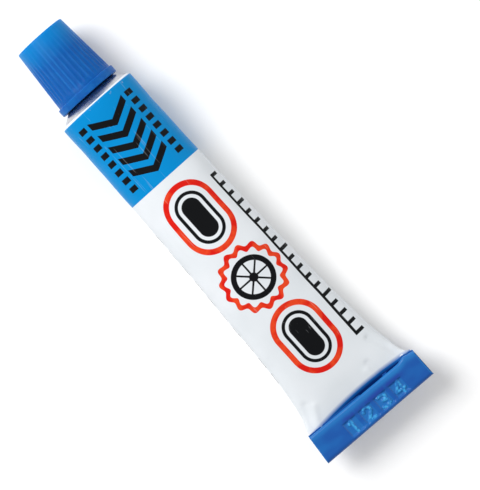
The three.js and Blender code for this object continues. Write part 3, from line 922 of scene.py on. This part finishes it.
def fold_finish():
    """Blue print over the folded sheet: deeper in soft patches and paler on the blocks, with a
    painted highlight along the rounded edge and cut ends, painted shade on the trough's side, and
    painted glints on the raised type."""
    finish = Finish("crimped_print", Specular_IOR_Level=0.3)
    grain = finish.noise(0.5, 4.0, 0.65)
    blotch = finish.noise(3.4, 2.0, 0.5, stretch=(1.0, 0.45, 1.0))
    raised = finish.attribute("raised")
    colour = finish.mix(blotch.between(0.4, 0.65, 0.2), FOLD_BLUE, FOLD_BLUE_DEEP)
    # Painted highlight on the rounded edge and cut ends, in patches; the blocks are paler too.
    highlight_and_pale_blocks = finish.attribute("pale") * (blotch * 0.7 + 0.35)
    highlight_and_pale_blocks = highlight_and_pale_blocks.most(finish.attribute("block") * 0.5)
    colour = finish.mix(highlight_and_pale_blocks, colour, FOLD_BLUE_PALE)
    # Painted shade: darker indigo in patches along the trough's upper side.
    shaded = finish.attribute("trough_side_shade") * finish.noise(1.5, 2.0).between(0.42, 0.9, 0.2)
    colour = finish.mix(shaded * 0.75, colour, FOLD_SHADE_INDIGO)
    # Painted highlight: cyan glints in patches on the raised type.
    glint = finish.noise(0.6, 2.0).between(0.5, 0.8, 0.12) * 0.66 + 0.1
    colour = finish.mix(raised * glint, colour, TYPE_GLINT_CYAN)
    finish.set(Base_Color=colour, Roughness=grain * 0.16 + 0.26 - raised * 0.12)
    finish.bump(grain + blotch * 0.5, 0.012)
    return finish.material


def aluminium_finish(name, dullness, coated):
    """Bare drawn metal: fine streaks from noise stretched along the axis, with duller cloudy
    patches. Where it is coated, the wall's blue band and its white coat, cut at a radius, end just
    over the tube's rim."""
    finish = Finish(name, Specular_IOR_Level=0.1, Metallic=1.0)
    streaks = finish.noise(0.22, 2.0, 0.5, stretch=(0.08, 1.0, 1.0))
    clouds = finish.noise(1.6, 4.0, 0.6)
    colour = finish.mix(clouds.between(0.45, 0.7, 0.2) * 0.5, ALUMINIUM, DULL_ALUMINIUM)
    roughness = streaks * 0.1 + clouds * 0.1 + dullness
    if coated:
        x, y, z = finish.object_axes()
        coat = length(y, z - AXIS_Z).above(TUBE_RADIUS - COAT_EDGE, 0.08)
        colour = finish.mix(coat, colour, WHITE_ENAMEL)
        colour = finish.mix(coat * x.below(BAND_TOP + 0.02, BAND_EDGE), colour, BAND_BLUE)
        roughness = roughness + coat * 0.15
        finish.set(Metallic=coat * -1.0 + 1.0)
    finish.set(Base_Color=colour, Roughness=roughness)
    finish.bump(streaks + clouds * 0.3, 0.003)
    return finish.material


def cap_finish():
    """Satin blue plastic: fine moulded grain, a painted sheen that lightens the end, painted
    highlight streaks along the flutes' crests, and faint wear on the flange."""
    finish = Finish("moulded_blue_plastic", Specular_IOR_Level=0.1, Subsurface_Weight=0.35,
                    Subsurface_Scale=0.0018, Subsurface_Radius=(0.2, 0.5, 1.0))
    x, y, z = finish.object_axes()
    radius = length(y, z - AXIS_Z)
    grain = finish.noise(0.22, 3.0, 0.6)
    clouds = finish.noise(2.4, 3.0, 0.6)
    # Painted sheen: the cap's end is lighter, its edge blurred by clouds.
    end = (x + clouds * 2.0).above(CAP_END - BAND_HEIGHT, 4.6)
    colour = finish.mix(end, CAP_BLUE, CAP_END_SHEEN_BLUE)
    # Painted highlight: paler streaks along the flutes' crests, in patches above the flange.
    crest = ((z - AXIS_Z).math("ARCTAN2", y) * FLUTE_COUNT).math("COSINE").above(0.45, 1.1)
    streaks = finish.noise(2.2, 3.0, 0.6, stretch=(0.2, 1.0, 1.0)).above(0.52, 0.14)
    streaks = streaks * x.above(FLANGE_TOP + 0.4, 0.6)
    colour = finish.mix(crest * (streaks * 0.34 + 0.06), colour, CAP_CREST_HIGHLIGHT_BLUE)
    wear = radius.above(FLANGE_RADIUS - 0.05, 0.12) * clouds.above(0.5, 0.2)
    colour = finish.mix(wear * 0.3, colour, FOLD_BLUE_PALE)
    finish.set(Base_Color=colour, Roughness=grain * 0.14 + clouds * 0.1 + 0.3)
    finish.bump(grain + clouds * 0.5, 0.008)
    return finish.material


def foam_finish():
    """Fine-celled white foam: small round cells as bump, with a faint yellowing in clouds."""
    finish = Finish("fine_foam")
    cells = finish.noise(0.14, 2.0, 0.5)
    clouds = finish.noise(1.5, 3.0)
    colour = finish.mix(clouds.between(0.4, 0.7, 0.3), FOAM_WHITE, FOAM_YELLOWED)
    finish.set(Base_Color=colour, Roughness=cells * 0.2 + 0.62)
    finish.bump(cells, 0.05)
    return finish.material


def cement_finish():
    """Honey-coloured cement with slow streaks and a wet gloss."""
    finish = Finish("rubber_cement", Subsurface_Weight=0.3, Subsurface_Scale=0.002)
    streaks = finish.noise(4.0, 4.0, 0.6, stretch=(0.3, 1.0, 1.0))
    colour = finish.mix(streaks, CEMENT_DEEP, CEMENT_PALE)
    finish.set(Base_Color=colour, Roughness=streaks * 0.15 + 0.12)
    finish.bump(streaks, 0.1)
    return finish.material


def latex_finish():
    """Dried cream latex, slightly wrinkled."""
    finish = Finish("dried_latex")
    wrinkles = finish.noise(0.6, 5.0, 0.65, stretch=(1.0, 0.4, 1.0))
    colour = finish.mix(wrinkles, LATEX_DEEP, LATEX_PALE)
    finish.set(Base_Color=colour, Roughness=wrinkles * 0.2 + 0.5)
    finish.bump(wrinkles, 0.08)
    return finish.material


bare_aluminium = aluminium_finish("drawn_aluminium", 0.16, coated=True)
seal_foil = aluminium_finish("seal_foil", 0.2, coated=False)
enamel = enamel_finish()
fit(tube_wall(), "tube", "tube_shell", enamel)
fit(folded_tail(), "tube", "tube_shell", fold_finish())
fit(shoulder_and_neck(), "tube", "tube_shell", bare_aluminium)
fit(seal_disc(), "tube", "nozzle_seal", seal_foil)
fit(screw_cap(), "cap", "screw_cap", cap_finish())
fit(foam_liner(), "liner", "cap_liner", foam_finish())
fit(sealant_band(), "tube", "tail_sealant", latex_finish())
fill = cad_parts["cement_fill"]
fill.data.materials.clear()
fill.data.materials.append(cement_finish())


# Floor, light and camera

FLOOR_HALF = 1500.0
FLOOR_PAPER = (0.88, 0.88, 0.88, 1.0)
FLOOR_LIFT = 0.12
KEY_DIRECTION, KEY_DISTANCE, KEY_SIZE, KEY_POWER = (0.64, 0.36, 0.79), 550.0, 280.0, 2.85
FILL_DIRECTION, FILL_DISTANCE, FILL_SIZE, FILL_POWER = (-0.15, -1.0, 0.3), 500.0, 420.0, 0.6
SKY_STRENGTH = 0.47


def studio_floor():
    """A wide flat sheet under the tube. What the camera and reflections see is lifted to white, and
    the shadow stays."""
    across, along = np.meshgrid([-FLOOR_HALF, FLOOR_HALF], [-FLOOR_HALF, FLOOR_HALF])
    floor = skin("studio_floor", np.stack([across, along, 0.0 * across], -1), loop_columns=False)
    material = bpy.data.materials.new("white_floor")
    material.use_nodes = True
    tree = material.node_tree
    tree.nodes.clear()
    out = tree.nodes.new("ShaderNodeOutputMaterial")
    both = tree.nodes.new("ShaderNodeAddShader")
    paper = tree.nodes.new("ShaderNodeBsdfDiffuse")
    paper.inputs["Color"].default_value = FLOOR_PAPER
    glow = tree.nodes.new("ShaderNodeEmission")
    path = tree.nodes.new("ShaderNodeLightPath")
    seen = Field(tree, path.outputs["Is Camera Ray"]) + Field(tree, path.outputs["Is Glossy Ray"])
    seen = (seen + Field(tree, path.outputs["Is Transmission Ray"])).least(1.0) * FLOOR_LIFT
    tree.links.new(seen.socket, glow.inputs["Strength"])
    tree.links.new(paper.outputs[0], both.inputs[0])
    tree.links.new(glow.outputs[0], both.inputs[1])
    tree.links.new(both.outputs[0], out.inputs["Surface"])
    floor.data.materials.append(material)


def studio_light(name, direction, distance, size, power):
    """A square soft box that looks at the tube from a direction."""
    lamp = bpy.data.lights.new(name, "AREA")
    lamp.shape = "SQUARE"
    lamp.size = size * MM
    lamp.energy = power
    holder = bpy.data.objects.new(name, lamp)
    bpy.context.scene.collection.objects.link(holder)
    back = Vector(direction).normalized()
    holder.location = Vector((0.0, 0.0, AXIS_Z * MM)) + back * distance * MM
    holder.rotation_euler = (-back).to_track_quat("-Z", "Y").to_euler()


studio_floor()
studio_light("key_light", KEY_DIRECTION, KEY_DISTANCE, KEY_SIZE, KEY_POWER)
studio_light("fill_light", FILL_DIRECTION, FILL_DISTANCE, FILL_SIZE, FILL_POWER)

world = bpy.data.worlds.new("studio_sky")
bpy.context.scene.world = world
world.use_nodes = True
sky = world.node_tree.nodes["Background"]
sky.inputs["Color"].default_value = (1.0, 1.0, 1.0, 1.0)
sky.inputs["Strength"].default_value = SKY_STRENGTH

# The photo looks down on the tube: its middle, its upward direction and its height, in millimetres
# on the plane of the axis
PHOTO_MIDDLE = Vector((-4.9, -1.75, 0.0))
PHOTO_UP = Vector((0.7455, -0.6665, 0.0))
PHOTO_HEIGHT = 77.85
CAMERA_HEIGHT = 460.0
CAMERA_X = 10.65
SENSOR = 36.0

lens = bpy.data.cameras.new("photo_camera")
lens.sensor_width = SENSOR
lens.lens = SENSOR * CAMERA_HEIGHT / PHOTO_HEIGHT
lens.clip_start, lens.clip_end = 0.01, 10.0
camera = bpy.data.objects.new("photo_camera", lens)
bpy.context.scene.collection.objects.link(camera)
eye = Vector((CAMERA_X, PHOTO_MIDDLE.y, AXIS_Z + CAMERA_HEIGHT))
target = Vector((PHOTO_MIDDLE.x, PHOTO_MIDDLE.y, AXIS_Z))
ahead = (target - eye).normalized()
right = ahead.cross(PHOTO_UP).normalized()
up = right.cross(ahead)
turned = Matrix((right, up, -ahead)).transposed().to_4x4()
camera.matrix_world = Matrix.Translation(eye * MM) @ turned
bpy.context.scene.camera = camera

bpy.context.scene.view_settings.view_transform = "Standard"

bpy.context.view_layer.update()
